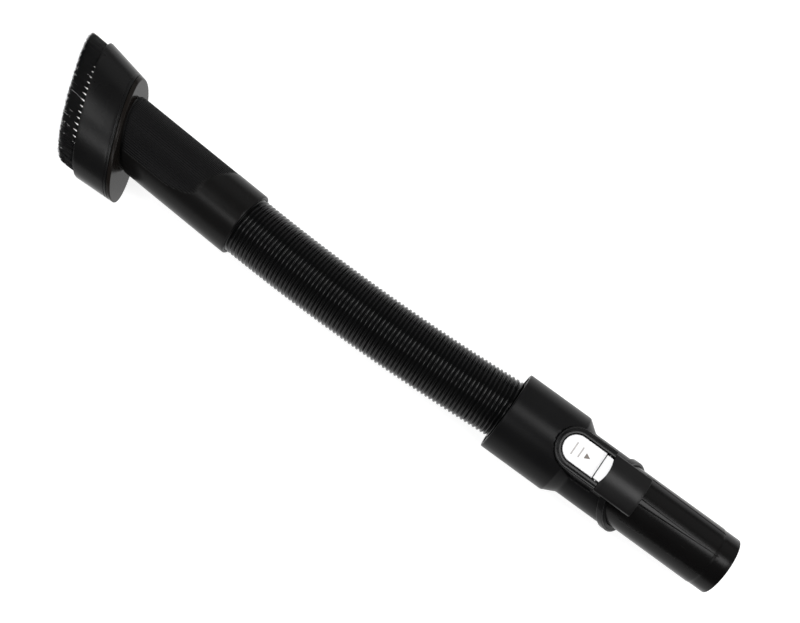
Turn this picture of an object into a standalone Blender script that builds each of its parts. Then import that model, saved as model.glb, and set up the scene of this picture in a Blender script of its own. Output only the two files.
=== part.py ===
"""Flexible dusting tool of a stick vacuum cleaner.

A plain spigot with a rocker lock plugs into the cleaner. Behind it a wide cuff holds a swivelling
ribbed hose, which ends in an obliquely cut wand with a pull-off oval dusting brush.

Everything is worked out in the connector's frame: the tube axis is X, the spigot's open end is at
x = 0, the hose runs towards -X and the lock button faces +Z. One empty then moves the whole tool
so that the origin is under the middle of its bounding box. Units are metres.
"""
from math import atan, cos, pi, radians, sin, tan

import bmesh
import bpy
from mathutils import Matrix, Vector

# Fits and finish
GAP = 0.0003                    # between pieces that touch
RUNNING_GAP = 0.0005            # round a piece that turns or rocks
EDGE_BREAK = 0.0005             # chamfer on a tube's end
MERGE = 0.00001
OVERCUT = 0.002                 # how far a cutter runs past what it cuts
TUBE_SIDES = 48
HOSE_SIDES = 20
ROUND_STEPS = 12                # in a half circle
SHARP_ANGLE = radians(35)

# Spigot
SPIGOT_RADIUS = 0.01885
SPIGOT_WALL = 0.0020
SPIGOT_REACH = 0.0680           # from its open end to the lip
SPIGOT_TIP_LENGTH = 0.010       # the stepped-down nose
SPIGOT_TIP_STEP = 0.0005
INNER_FLANGE_WIDTH = 0.0022
INNER_FLANGE_ROOM = 0.0013      # behind the button's frame
KEY_RIB_LENGTH = 0.054
KEY_RIB_WIDTH = 0.0046
KEY_RIB_HEIGHT = 0.0006

# Connector
CONNECTOR_LENGTH = 0.0855       # from the lip to the cuff's mouth
BODY_WALL = 0.00145
LIP_SLANT = radians(31)         # the lip leans back towards the button
COLLAR_WIDTH = 0.0036
COLLAR_THICKNESS = 0.0010
SHOULDER_LENGTH = 0.0085
SHOULDER_STEPS = 4
CUFF_WALL = 0.0024
CUFF_LENGTH = 0.0425

# Lock
FRAME_SETBACK = 0.0210          # from the lip to the frame's right end
FRAME_LENGTH = 0.0332
FRAME_HALF_WIDTH = 0.0130
FRAME_RISE = 0.0048             # above the connector's body
FRAME_WALL = 0.0040
PAD_GAP = 0.0006
PAD_THICKNESS = 0.0020
PAD_GROOVE = 0.0005
PAD_STRIP_LENGTH = 0.0047       # past the groove, sloping down to the tongue
PAD_DROP = 0.0010
ARM_SETBACK = 0.0042            # from the pad's round end
ARM_SIDE_SETBACK = 0.0014       # from the pad's sides
ARM_THICKNESS = 0.0016
ARM_OVERLAP = 0.0020            # of the arm under the tongue's left end
LUG_RADIUS = 0.0019
LUG_ROOM = 0.00045              # between the lug and the inner tube
PIN_SETBACK = 0.0020            # from the frame's right end
PIN_RADIUS = 0.0010
TONGUE_LENGTH = 0.0252
TONGUE_THICKNESS = 0.0021
TOOTH_LENGTH = 0.0032
TOOTH_HALF_WIDTH = 0.0050
TOOTH_DEPTH = 0.0018
SPRING_WIDTH = 0.0060
SPRING_THICKNESS = 0.0004
SPRING_ROOM = 0.0045            # between the spring's end and the lug

# Swivel in the cuff
SWIVEL_RING_WIDTH = 0.0022
SWIVEL_RING_INSET = 0.0007
SWIVEL_RING_ROOM = 0.0016       # round the hose
SWIVEL_WASHER_WIDTH = 0.0018
SWIVEL_WALL = 0.0034

# Hose
HOSE_RADIUS = 0.0190
HOSE_RIB_DEPTH = 0.0013
HOSE_WALL = 0.0015
HOSE_LENGTH = 0.1885            # from its first bend to the wand
HOSE_START_OUTSIDE = 0.0020     # first bend, outside the cuff's mouth
HOSE_TILT = radians(4.5)        # where it leaves the cuff, at rest
HOSE_TURN = radians(7.7)        # and turns back by this much on the way to the wand
HOSE_BENDS = 6
HOSE_END_LENGTH = 0.0135        # from the last bend to the wand
HOSE_PLUG_LENGTH = 0.0200       # hidden in the wand
BEND_LENGTH = 0.0090
BEND_RIBS = 2
SECTION_RIBS = 6
CUFF_END_RIBS = 4
WAND_END_RIBS = 7

# Wand
WAND_SEAT_GAP = 0.00045         # round the hose's end
WAND_WALL = 0.0019
WAND_LENGTH = 0.0886            # along its axis, to the slanted end
CUT_ANGLE = radians(25.5)       # of the slanted end, from a square one
CUT_ROLL = radians(8.0)         # about the wand's axis
COLLAR_SLEEVE_WALL = 0.0014     # of the collar inside the hose's end
COLLAR_FLANGE_WIDTH = 0.0020

# Brush
BRUSH_GAP = 0.0015              # between the wand's end and the back plate
BRUSH_HALF_LENGTH = 0.0388
BRUSH_MARGIN = 0.00215          # of the oval past the wand's sides
BRUSH_FLARE = 0.0010
BRUSH_LONG_FLARE = 0.0014
BRUSH_DEPTH = 0.0253
BRUSH_WALL = 0.0020
BRUSH_SQUARENESS = 2.3          # exponent of the oval; 2 is an ellipse
BRUSH_OFFSET = -0.0054          # of its centre from the wand's axis, along the oval
BRUSH_LEAN = 0.0012             # how far its front leans off the wand's direction
PLATE_THICKNESS = 0.0024
PLUG_LENGTH = 0.0160
PLUG_WALL = 0.0018
CARRIER_WIDTH = 0.0036
CARRIER_DEPTH = 0.0080
CARRIER_INSET = 0.0010
BRISTLE_WIDTH = 0.0030
BRISTLE_REACH = 0.0130          # past the skirt's edge, along the wand's axis
BRISTLE_END_REACH = 0.0090
OVAL_POINTS = 48

# Radii and heights that follow from the sizes above
SHELL_BORE = SPIGOT_RADIUS + GAP
BODY_RADIUS = SHELL_BORE + BODY_WALL
COLLAR_RADIUS = BODY_RADIUS + GAP + COLLAR_THICKNESS
SWIVEL_BORE = HOSE_RADIUS + GAP
SWIVEL_RADIUS = SWIVEL_BORE + SWIVEL_WALL
SWIVEL_RING_BORE = HOSE_RADIUS + SWIVEL_RING_ROOM
CUFF_BORE = SWIVEL_RADIUS + RUNNING_GAP
CUFF_RADIUS = CUFF_BORE + CUFF_WALL
HOSE_BORE = HOSE_RADIUS - HOSE_RIB_DEPTH - HOSE_WALL
WAND_BORE = HOSE_RADIUS + WAND_SEAT_GAP
WAND_RADIUS = WAND_BORE + WAND_WALL
BRUSH_HALF_THICKNESS = WAND_RADIUS + BRUSH_MARGIN
FRAME_TOP = BODY_RADIUS + FRAME_RISE
POCKET_HALF_WIDTH = FRAME_HALF_WIDTH - FRAME_WALL
PAD_HALF_WIDTH = POCKET_HALF_WIDTH - PAD_GAP
PAD_BOTTOM = FRAME_TOP - PAD_THICKNESS
ARM_HALF_WIDTH = PAD_HALF_WIDTH - ARM_SIDE_SETBACK
ARM_TOP = PAD_BOTTOM - GAP
TONGUE_BORE = COLLAR_RADIUS + GAP
PIN_Z = SPIGOT_RADIUS + LUG_ROOM + LUG_RADIUS

# Places along the tube that follow from them
LIP_X = -SPIGOT_REACH
CUFF_MOUTH_X = LIP_X - CONNECTOR_LENGTH
SHOULDER_X = CUFF_MOUTH_X + CUFF_LENGTH
FRAME_RIGHT_X = LIP_X - FRAME_SETBACK
FRAME_LEFT_X = FRAME_RIGHT_X - FRAME_LENGTH
PIN_X = FRAME_RIGHT_X - PIN_SETBACK
TONGUE_LEFT_X = FRAME_RIGHT_X + RUNNING_GAP
TONGUE_END_X = TONGUE_LEFT_X + TONGUE_LENGTH
PAD_LEFT_X = FRAME_LEFT_X + FRAME_WALL + PAD_GAP
PAD_RIGHT_X = TONGUE_LEFT_X - GAP
PAD_GROOVE_X = PAD_RIGHT_X - PAD_STRIP_LENGTH
ARM_LEFT_X = PAD_LEFT_X + ARM_SETBACK
SPRING_RIGHT_X = PIN_X - LUG_RADIUS - SPRING_ROOM
INNER_END_X = FRAME_LEFT_X - INNER_FLANGE_ROOM
FLANGE_X = INNER_END_X - INNER_FLANGE_WIDTH
WASHER_X = FLANGE_X - GAP - SWIVEL_WASHER_WIDTH
RING_X = CUFF_MOUTH_X + SWIVEL_RING_INSET
SWIVEL_X = RING_X + SWIVEL_RING_WIDTH + RUNNING_GAP
SWIVEL_END_X = WASHER_X - RUNNING_GAP
HOSE_START_X = CUFF_MOUTH_X - HOSE_START_OUTSIDE
BEND_PITCH = (HOSE_LENGTH - HOSE_END_LENGTH) / (HOSE_BENDS - 1)

model = None
cutters = None
root = None
frames = {}


def start_scene():
    """Empty the file and make the two collections and the root empty."""
    global model, cutters, root
    for old in list(bpy.data.objects):
        bpy.data.objects.remove(old, do_unlink=True)
    model = bpy.data.collections.new("flexible_dusting_tool")
    cutters = bpy.data.collections.new("cutters")
    for collection in (model, cutters):
        bpy.context.scene.collection.children.link(collection)
    root = bpy.data.objects.new("tool_origin", None)
    model.objects.link(root)
    frames[root.name] = Matrix.Identity(4)


def plastic(name, color, roughness, metallic=0.0):
    """A plain material with its own colour and finish."""
    material = bpy.data.materials.new(name)
    material.use_nodes = True
    shader = material.node_tree.nodes["Principled BSDF"]
    shader.inputs["Base Color"].default_value = (*color, 1.0)
    shader.inputs["Roughness"].default_value = roughness
    shader.inputs["Metallic"].default_value = metallic
    return material


def black(name, roughness=0.35):
    """Black moulded plastic."""
    return plastic(name, (0.012, 0.012, 0.013), roughness)


def frame_at(name, parent, matrix):
    """An empty on a joint, at a matrix in the connector's frame."""
    holder = bpy.data.objects.new(name, None)
    holder.empty_display_size = 0.02
    model.objects.link(holder)
    attach(holder, parent, matrix)
    frames[holder.name] = matrix
    return holder


def attach(item, parent, matrix=None):
    """Parent an object, with its place given in the connector's frame."""
    item.parent = parent
    item.matrix_local = frames[parent.name].inverted() @ (matrix or Matrix.Identity(4))


def new_object(name, mesh, parent, matrix=None, material=None):
    """A named part, or a hidden cutter if it has no material."""
    item = bpy.data.objects.new(name, mesh)
    if material is None:
        cutters.objects.link(item)
        item.hide_render = True
        item.display_type = "WIRE"
    else:
        model.objects.link(item)
        item.data.materials.append(material)
    attach(item, parent, matrix)
    return item


def round_shading(mesh):
    """Smooth shading that keeps the real edges."""
    mesh.shade_smooth()
    mesh.set_sharp_from_angle(angle=SHARP_ANGLE)


def evaluated_mesh(item):
    """A new mesh of an object with its modifiers or curve settings carried out."""
    bpy.context.view_layer.update()
    shown = item.evaluated_get(bpy.context.evaluated_depsgraph_get())
    return bpy.data.meshes.new_from_object(shown)


def turned(name, outline, parent, matrix=None, material=None, sides=TUBE_SIDES):
    """A closed outline of (place along the axis, radius), turned about X.

    The outline runs down its outer side, from high x to low x, and back up the bore.
    """
    mesh = bpy.data.meshes.new(name)
    count = len(outline)
    points = [(radius, 0.0, along) for along, radius in outline]
    mesh.from_pydata(points, [(i, (i + 1) % count) for i in range(count)], [])
    upright = Matrix.Rotation(pi / 2, 4, "Y")
    item = new_object(name, mesh, parent, (matrix or Matrix.Identity(4)) @ upright, material)
    screw = item.modifiers.new("turn", "SCREW")
    screw.axis = "Z"
    screw.steps = sides
    screw.render_steps = sides
    screw.use_merge_vertices = True
    screw.merge_threshold = MERGE
    item.data = evaluated_mesh(item)
    item.modifiers.remove(screw)
    round_shading(item.data)
    return item


def ring(name, low, high, bore, radius, parent, material=None):
    """A plain tube between two places on the axis."""
    outline = [(high, radius), (low, radius), (low, bore), (high, bore)]
    return turned(name, outline, parent, material=material)


def box(name, low, high, parent, matrix=None, material=None):
    """A block between two corners."""
    mesh = bpy.data.meshes.new(name)
    shape = bmesh.new()
    bmesh.ops.create_cube(shape, size=1.0)
    low, high = Vector(low), Vector(high)
    size = high - low
    bmesh.ops.scale(shape, vec=size, verts=shape.verts)
    bmesh.ops.translate(shape, vec=(low + high) / 2, verts=shape.verts)
    shape.to_mesh(mesh)
    shape.free()
    return new_object(name, mesh, parent, matrix, material)


def rod(name, radius, low, high, parent, matrix=None, material=None, sides=24):
    """A solid cylinder along X."""
    mesh = bpy.data.meshes.new(name)
    shape = bmesh.new()
    along_x = Matrix.Translation(((low + high) / 2, 0, 0)) @ Matrix.Rotation(pi / 2, 4, "Y")
    bmesh.ops.create_cone(shape, cap_ends=True, segments=sides, radius1=radius, radius2=radius,
                          depth=high - low, matrix=along_x)
    shape.to_mesh(mesh)
    shape.free()
    round_shading(mesh)
    return new_object(name, mesh, parent, matrix, material)


def prism(name, outline, low, high, parent, matrix=None, material=None):
    """A flat outline in XY, filled and given a thickness along Z."""
    curve = bpy.data.curves.new(name, "CURVE")
    curve.dimensions = "2D"
    curve.fill_mode = "BOTH"
    curve.extrude = (high - low) / 2
    spline = curve.splines.new("POLY")
    spline.points.add(len(outline) - 1)
    for point, place in zip(spline.points, outline):
        point.co = (place[0], place[1], 0.0, 1.0)
    spline.use_cyclic_u = True
    drawn = bpy.data.objects.new(name + "_outline", curve)
    cutters.objects.link(drawn)
    mesh = evaluated_mesh(drawn)
    shape = bmesh.new()
    shape.from_mesh(mesh)
    bmesh.ops.remove_doubles(shape, verts=shape.verts, dist=MERGE)
    bmesh.ops.translate(shape, vec=(0, 0, (low + high) / 2), verts=shape.verts)
    bmesh.ops.recalc_face_normals(shape, faces=shape.faces)
    shape.to_mesh(mesh)
    shape.free()
    mesh.name = name
    mesh.materials.clear()
    bpy.data.objects.remove(drawn, do_unlink=True)
    return new_object(name, mesh, parent, matrix, material)


def loft(name, rings, parent, matrix=None, material=None):
    """A closed band through rings of points, the last ring joined to the first."""
    mesh = bpy.data.meshes.new(name)
    shape = bmesh.new()
    rows = [[shape.verts.new(point) for point in row] for row in rings]
    for row, following in zip(rows, rows[1:] + rows[:1]):
        for i in range(len(row)):
            j = (i + 1) % len(row)
            shape.faces.new((row[i], row[j], following[j], following[i]))
    bmesh.ops.recalc_face_normals(shape, faces=shape.faces)
    shape.to_mesh(mesh)
    shape.free()
    round_shading(mesh)
    return new_object(name, mesh, parent, matrix, material)


def combine(target, tool, operation="DIFFERENCE"):
    """Cut, join or intersect with another object."""
    step = target.modifiers.new(operation.lower(), "BOOLEAN")
    step.operation = operation
    step.solver = "EXACT"
    step.object = tool


def stadium(left, right, half_width):
    """An outline with a round left end and a square right one."""
    points = []
    for i in range(ROUND_STEPS + 1):
        angle = pi / 2 + pi * i / ROUND_STEPS
        points.append((left + half_width + half_width * cos(angle), half_width * sin(angle)))
    return points + [(right, -half_width), (right, half_width)]


# ---- Connector -------------------------------------------------------------------------------

def lip_slab(name, low, high):
    """A block square to the slanted lip, between two distances in front of it."""
    lean = Matrix.Translation((LIP_X, 0, 0)) @ Matrix.Rotation(-LIP_SLANT, 4, "Y")
    reach = 2 * CUFF_RADIUS
    return box(name, (low, -reach, -reach), (high, reach, reach), root, lean)


def build_spigot():
    """The inner tube: it plugs into the cleaner and carries the air through the connector."""
    tip = SPIGOT_RADIUS - SPIGOT_TIP_STEP
    bore = SPIGOT_RADIUS - SPIGOT_WALL
    outline = [
        (0, tip - EDGE_BREAK), (-EDGE_BREAK, tip), (-SPIGOT_TIP_LENGTH, tip),
        (-SPIGOT_TIP_LENGTH - EDGE_BREAK, SPIGOT_RADIUS), (INNER_END_X, SPIGOT_RADIUS),
        (INNER_END_X, CUFF_BORE - GAP), (FLANGE_X, CUFF_BORE - GAP), (FLANGE_X, bore), (0, bore),
    ]
    item = turned("spigot_tube", outline, root, material=black("spigot_tube", 0.25))
    rib = prism("key_rib", [
        (-SPIGOT_TIP_LENGTH, 0),
        (-SPIGOT_TIP_LENGTH - KEY_RIB_LENGTH, KEY_RIB_WIDTH / 2),
        (-SPIGOT_TIP_LENGTH - KEY_RIB_LENGTH, -KEY_RIB_WIDTH / 2),
    ], SPIGOT_RADIUS - SPIGOT_WALL / 2, SPIGOT_RADIUS + KEY_RIB_HEIGHT, root)
    combine(item, rib, "UNION")


def cut_lock_window(target, name):
    """Take out the room of the button's frame, and a narrower stretch for the lever's arm."""
    window = stadium(FRAME_LEFT_X - GAP, FRAME_RIGHT_X + GAP, FRAME_HALF_WIDTH + GAP)
    combine(target, prism(name + "_window", window, 0, 2 * CUFF_RADIUS, root))
    side = ARM_HALF_WIDTH + RUNNING_GAP
    combine(target, box(name + "_arm_room", (PIN_X, -side, 0),
                        (TONGUE_LEFT_X + ARM_OVERLAP + RUNNING_GAP, side, 2 * CUFF_RADIUS), root))


def build_shell():
    """Cuff, shoulder and body in one moulding, windowed for the lock."""
    front = LIP_X + 2 * BODY_RADIUS
    rise = CUFF_RADIUS - BODY_RADIUS
    outline = [(front, BODY_RADIUS)]
    for i in range(SHOULDER_STEPS + 1):
        part = i / SHOULDER_STEPS
        outline.append((SHOULDER_X + SHOULDER_LENGTH * (1 - part),
                        BODY_RADIUS + rise * (1 - cos(pi * part)) / 2))
    outline += [
        (CUFF_MOUTH_X + EDGE_BREAK, CUFF_RADIUS), (CUFF_MOUTH_X, CUFF_RADIUS - EDGE_BREAK),
        (CUFF_MOUTH_X, CUFF_BORE), (SHOULDER_X, CUFF_BORE),
        (SHOULDER_X + SHOULDER_LENGTH / 2, SHELL_BORE), (front, SHELL_BORE),
    ]
    item = turned("connector_shell", outline, root, material=black("connector_shell", 0.4))
    combine(item, lip_slab("lip_cutter", 0, 4 * CUFF_RADIUS))
    cut_lock_window(item, "shell")


def build_collar():
    """The raised band that follows the slanted lip."""
    reach = (COLLAR_RADIUS + OVERCUT) * tan(LIP_SLANT)
    item = ring("collar_trim", LIP_X - reach - 2 * COLLAR_WIDTH, LIP_X + reach, BODY_RADIUS + GAP,
                COLLAR_RADIUS, root, black("collar_trim", 0.3))
    combine(item, lip_slab("collar_slab", -COLLAR_WIDTH, 0), "INTERSECT")
    cut_lock_window(item, "collar")


def build_frame():
    """The raised surround of the button, which carries the pivot pin."""
    outline = stadium(FRAME_LEFT_X, FRAME_RIGHT_X, FRAME_HALF_WIDTH)
    item = prism("button_frame", outline, 0, FRAME_TOP, root,
                 material=black("button_frame", 0.3))
    combine(item, rod("frame_saddle", SHELL_BORE, FRAME_LEFT_X - OVERCUT, FRAME_RIGHT_X + OVERCUT,
                      root, sides=TUBE_SIDES))
    pocket = stadium(FRAME_LEFT_X + FRAME_WALL, FRAME_RIGHT_X + OVERCUT, POCKET_HALF_WIDTH)
    combine(item, prism("pocket_cutter", pocket, 0, FRAME_TOP + OVERCUT, root))
    across = Matrix.Translation((PIN_X, 0, PIN_Z)) @ Matrix.Rotation(pi / 2, 4, "Z")
    combine(item, rod("pin_hole", PIN_RADIUS + GAP, -CUFF_RADIUS, CUFF_RADIUS, root, across))
    pin_end = FRAME_HALF_WIDTH - GAP
    rod("lever_pin", PIN_RADIUS, -pin_end, pin_end, root, across,
        plastic("lever_pin", (0.55, 0.55, 0.56), 0.3, 1.0))


def build_lever():
    """The rocker: an arm in the pocket, and a tongue with a tooth over the spigot."""
    pivot = frame_at("lever_pivot", root, Matrix.Translation((PIN_X, 0, PIN_Z)))
    item = ring("lock_lever", TONGUE_LEFT_X, TONGUE_END_X, TONGUE_BORE, TONGUE_BORE + TONGUE_THICKNESS,
                pivot, black("lock_lever", 0.35))
    side = FRAME_HALF_WIDTH - GAP
    combine(item, box("tongue_block", (TONGUE_LEFT_X - OVERCUT, -side, 0),
                      (TONGUE_END_X + OVERCUT, side, 2 * CUFF_RADIUS), pivot), "INTERSECT")
    arm = box("arm_block", (ARM_LEFT_X, -ARM_HALF_WIDTH, ARM_TOP - ARM_THICKNESS),
              (TONGUE_LEFT_X + ARM_OVERLAP, ARM_HALF_WIDTH, ARM_TOP), pivot)
    combine(item, arm, "UNION")
    tooth = box("tooth_block", (TONGUE_END_X - TOOTH_LENGTH - GAP, -TOOTH_HALF_WIDTH,
                                TONGUE_BORE - TOOTH_DEPTH),
                (TONGUE_END_X - GAP, TOOTH_HALF_WIDTH, TONGUE_BORE + TONGUE_THICKNESS / 2), pivot)
    combine(item, tooth, "UNION")
    across = Matrix.Translation((PIN_X, 0, PIN_Z)) @ Matrix.Rotation(pi / 2, 4, "Z")
    lug = rod("lever_lug", LUG_RADIUS, -ARM_HALF_WIDTH, ARM_HALF_WIDTH, pivot, across)
    combine(item, lug, "UNION")
    combine(item, rod("lever_hole", PIN_RADIUS + GAP, -CUFF_RADIUS, CUFF_RADIUS, pivot, across))
    build_pad(pivot)


def build_pad(pivot):
    """The white push pad, round at its left end, with a groove before its sloping strip."""
    item = prism("push_pad", stadium(PAD_LEFT_X, PAD_RIGHT_X, PAD_HALF_WIDTH), PAD_BOTTOM, FRAME_TOP,
                 pivot, material=plastic("push_pad", (0.82, 0.82, 0.82), 0.35))
    combine(item, box("pad_groove", (PAD_GROOVE_X, -FRAME_HALF_WIDTH, FRAME_TOP - PAD_GROOVE),
                      (PAD_GROOVE_X + PAD_GROOVE, FRAME_HALF_WIDTH, FRAME_TOP + OVERCUT), pivot))
    slope = atan(PAD_DROP / PAD_STRIP_LENGTH)
    lean = (Matrix.Translation((PAD_GROOVE_X + PAD_GROOVE, 0, FRAME_TOP))
            @ Matrix.Rotation(slope, 4, "Y"))
    combine(item, box("pad_slope", (0, -FRAME_HALF_WIDTH, 0),
                      (PAD_STRIP_LENGTH + OVERCUT, FRAME_HALF_WIDTH, OVERCUT), pivot, lean))


def build_spring():
    """A bowed steel leaf between the inner tube and the lever's arm."""
    length = SPRING_RIGHT_X - ARM_LEFT_X
    base = SPIGOT_RADIUS + GAP
    crown = ARM_TOP - ARM_THICKNESS - GAP - SPRING_THICKNESS
    lower = []
    for i in range(ROUND_STEPS + 1):
        part = i / ROUND_STEPS
        lower.append((ARM_LEFT_X + length * part, base + (crown - base) * sin(pi * part)))
    upper = [(x, z + SPRING_THICKNESS) for x, z in reversed(lower)]
    on_side = Matrix.Rotation(pi / 2, 4, "X")
    prism("lever_spring", lower + upper, -SPRING_WIDTH / 2, SPRING_WIDTH / 2, root, on_side,
          plastic("lever_spring", (0.5, 0.5, 0.5), 0.3, 1.0))


def build_swivel():
    """The ring that keeps the hose in the cuff, its washer, and the collar on the hose."""
    ring("retaining_ring", RING_X, RING_X + SWIVEL_RING_WIDTH, SWIVEL_RING_BORE, CUFF_BORE - GAP,
         root, black("retaining_ring", 0.5))
    ring("swivel_washer", WASHER_X, FLANGE_X - GAP, HOSE_BORE, SWIVEL_RADIUS,
         root, plastic("swivel_washer", (0.05, 0.05, 0.05), 0.8))
    swivel = frame_at("hose_swivel", root, Matrix.Translation((HOSE_START_X, 0, 0)))
    ring("swivel_collar", SWIVEL_X, SWIVEL_END_X, SWIVEL_BORE, SWIVEL_RADIUS, swivel,
         black("swivel_collar", 0.45))
    return swivel


# ---- Hose ------------------------------------------------------------------------------------

def hose_frame(distance, heading=None):
    """The hose's rest line: place and heading at a distance from its first bend."""
    curvature = HOSE_TURN / HOSE_LENGTH
    here = HOSE_TILT - curvature * distance
    x = HOSE_START_X - (sin(HOSE_TILT) - sin(here)) / curvature
    y = (cos(HOSE_TILT) - cos(here)) / curvature
    turn = Matrix.Rotation(here if heading is None else heading, 4, "Z")
    return Matrix.Translation((x, y, 0)) @ turn


def hose_heading(distance):
    """The rest line's heading, which is the cuff's own before the first bend."""
    if distance < 0:
        return 0.0
    return HOSE_TILT - HOSE_TURN * min(distance, HOSE_LENGTH) / HOSE_LENGTH


def ribbed(name, low, high, ribs, parent, matrix):
    """A stretch of ribbed hose with a smooth bore."""
    step = (high - low) / (2 * ribs)
    valley = HOSE_RADIUS - HOSE_RIB_DEPTH
    outline = []
    for i in range(2 * ribs + 1):
        radius = HOSE_RADIUS if i % 2 else valley
        outline.append((high - i * step, radius))
    outline += [(low, HOSE_BORE), (high, HOSE_BORE)]
    return turned(name, outline, parent, matrix, black(name, 0.45), HOSE_SIDES)


def build_hose(swivel):
    """Stiff sections joined by soft bends, which flex sideways and up and down in turn."""
    half_bend = BEND_LENGTH / 2
    inside = SWIVEL_END_X - HOSE_START_X
    ribbed("hose_cuff_end", half_bend + GAP, inside, CUFF_END_RIBS, swivel, frames[swivel.name])
    holder = swivel
    for number in range(1, HOSE_BENDS + 1):
        distance = (number - 1) * BEND_PITCH
        last = number == HOSE_BENDS
        before = hose_heading(distance - BEND_PITCH / 2)
        after = hose_heading(HOSE_LENGTH if last else distance + BEND_PITCH / 2)
        slack = HOSE_RADIUS * tan(abs(after - before) / 2)
        ribbed(f"hose_bend_{number}", slack - half_bend, half_bend - slack, BEND_RIBS, holder,
               hose_frame(distance, (before + after) / 2))
        holder = frame_at(f"bend_axis_{number}", holder, hose_frame(distance, after))
        if not last:
            half = BEND_PITCH / 2 - half_bend - GAP
            ribbed(f"hose_section_{number}", -half, half, SECTION_RIBS, holder,
                   hose_frame(distance + BEND_PITCH / 2))
    return holder


# ---- Wand ------------------------------------------------------------------------------------

def cut_frame(wand, distance):
    """A frame on the slanted plane: X out of the wand's end backwards, Y along the oval."""
    slant = Matrix.Rotation(CUT_ROLL, 4, "X") @ Matrix.Rotation(CUT_ANGLE, 4, "Z")
    return wand @ Matrix.Translation((-distance, 0, 0)) @ slant


def build_wand(holder):
    """The hose's far end, the collar on it, and the wand with its slanted mouth."""
    wand = hose_frame(HOSE_LENGTH)
    ribbed("hose_wand_end", -HOSE_PLUG_LENGTH, HOSE_END_LENGTH - BEND_LENGTH / 2 - GAP,
           WAND_END_RIBS, holder, wand)
    sleeve = HOSE_BORE - GAP
    seat = -HOSE_PLUG_LENGTH - GAP
    end = seat - COLLAR_FLANGE_WIDTH
    turned("wand_collar", [
        (0, sleeve), (seat, sleeve), (seat, WAND_BORE - GAP), (end, WAND_BORE - GAP),
        (end, sleeve - COLLAR_SLEEVE_WALL), (0, sleeve - COLLAR_SLEEVE_WALL),
    ], holder, wand, black("wand_collar", 0.5))
    far = WAND_LENGTH + WAND_RADIUS
    outline = [
        (0, WAND_RADIUS - EDGE_BREAK), (-EDGE_BREAK, WAND_RADIUS), (-far, WAND_RADIUS),
        (-far, WAND_BORE), (0, WAND_BORE),
    ]
    item = turned("wand_tube", outline, holder, wand, black("wand_tube", 0.35))
    reach = 2 * WAND_RADIUS
    combine(item, box("wand_end_cutter", (-2 * reach, -reach, -reach), (0, reach, reach), holder,
                      cut_frame(wand, WAND_LENGTH)))
    return wand


# ---- Brush -----------------------------------------------------------------------------------

def oval(x, inward=0.0):
    """The brush's oval at a depth x behind its back plane, drawn in by a wall's thickness."""
    grown = -x / BRUSH_DEPTH
    long_half = BRUSH_HALF_LENGTH + BRUSH_LONG_FLARE * grown - inward
    short_half = BRUSH_HALF_THICKNESS + BRUSH_FLARE * grown - inward
    shift = BRUSH_OFFSET + BRUSH_LEAN * grown - x * tan(CUT_ANGLE)
    points = []
    for i in range(OVAL_POINTS):
        angle = 2 * pi * i / OVAL_POINTS
        c, s = cos(angle), sin(angle)
        y = long_half * abs(c) ** (2 / BRUSH_SQUARENESS) * (1 if c > 0 else -1)
        z = short_half * abs(s) ** (2 / BRUSH_SQUARENESS) * (1 if s > 0 else -1)
        points.append(Vector((x, y + shift, z)))
    return points


def oval_band(name, near, far, outer, inner, parent, matrix, material):
    """A band of the brush between two depths and two insets."""
    rings = [oval(near, outer), oval(far, outer), oval(far, inner), oval(near, inner)]
    return loft(name, rings, parent, matrix, material)


def build_brush(holder, wand):
    """The pull-off head: a skirt, its back plate with a plug, and the bristles."""
    slide = frame_at("brush_slide", holder, wand @ Matrix.Translation((-WAND_LENGTH, 0, 0)))
    place = cut_frame(wand, WAND_LENGTH + BRUSH_GAP / cos(CUT_ANGLE))
    back = -PLATE_THICKNESS
    front = -BRUSH_DEPTH
    oval_band("brush_skirt", back - GAP, front, 0, BRUSH_WALL, slide, place,
              black("brush_skirt", 0.3))

    plug_radius = WAND_BORE - GAP
    along = place @ Matrix.Rotation(-CUT_ANGLE, 4, "Z")
    plate = prism("brush_back_plate", [(p.y, p.z) for p in oval(0)], -PLATE_THICKNESS, 0, slide,
                  place @ Matrix(((0, 0, 1, 0), (1, 0, 0, 0), (0, 1, 0, 0), (0, 0, 0, 1))),
                  black("brush_back_plate", 0.2))
    reach = plug_radius * tan(CUT_ANGLE) + 2 * PLATE_THICKNESS
    combine(plate, rod("plug_rod", plug_radius, -reach, PLUG_LENGTH, slide, along, sides=TUBE_SIDES),
            "UNION")
    combine(plate, rod("plug_bore", plug_radius - PLUG_WALL, -reach - OVERCUT, PLUG_LENGTH + OVERCUT,
                       slide, along, sides=TUBE_SIDES))
    across = 2 * BRUSH_HALF_LENGTH
    combine(plate, box("plug_trim", (-across, -across, -across), (-PLATE_THICKNESS, across, across),
                       slide, place))

    carrier_front = front + CARRIER_INSET
    inset = BRUSH_WALL + GAP
    oval_band("bristle_carrier", carrier_front + CARRIER_DEPTH, carrier_front, inset,
              inset + CARRIER_WIDTH, slide, place, black("bristle_carrier", 0.5))
    build_bristles(slide, place, carrier_front - GAP, inset + (CARRIER_WIDTH - BRISTLE_WIDTH) / 2)


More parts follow.
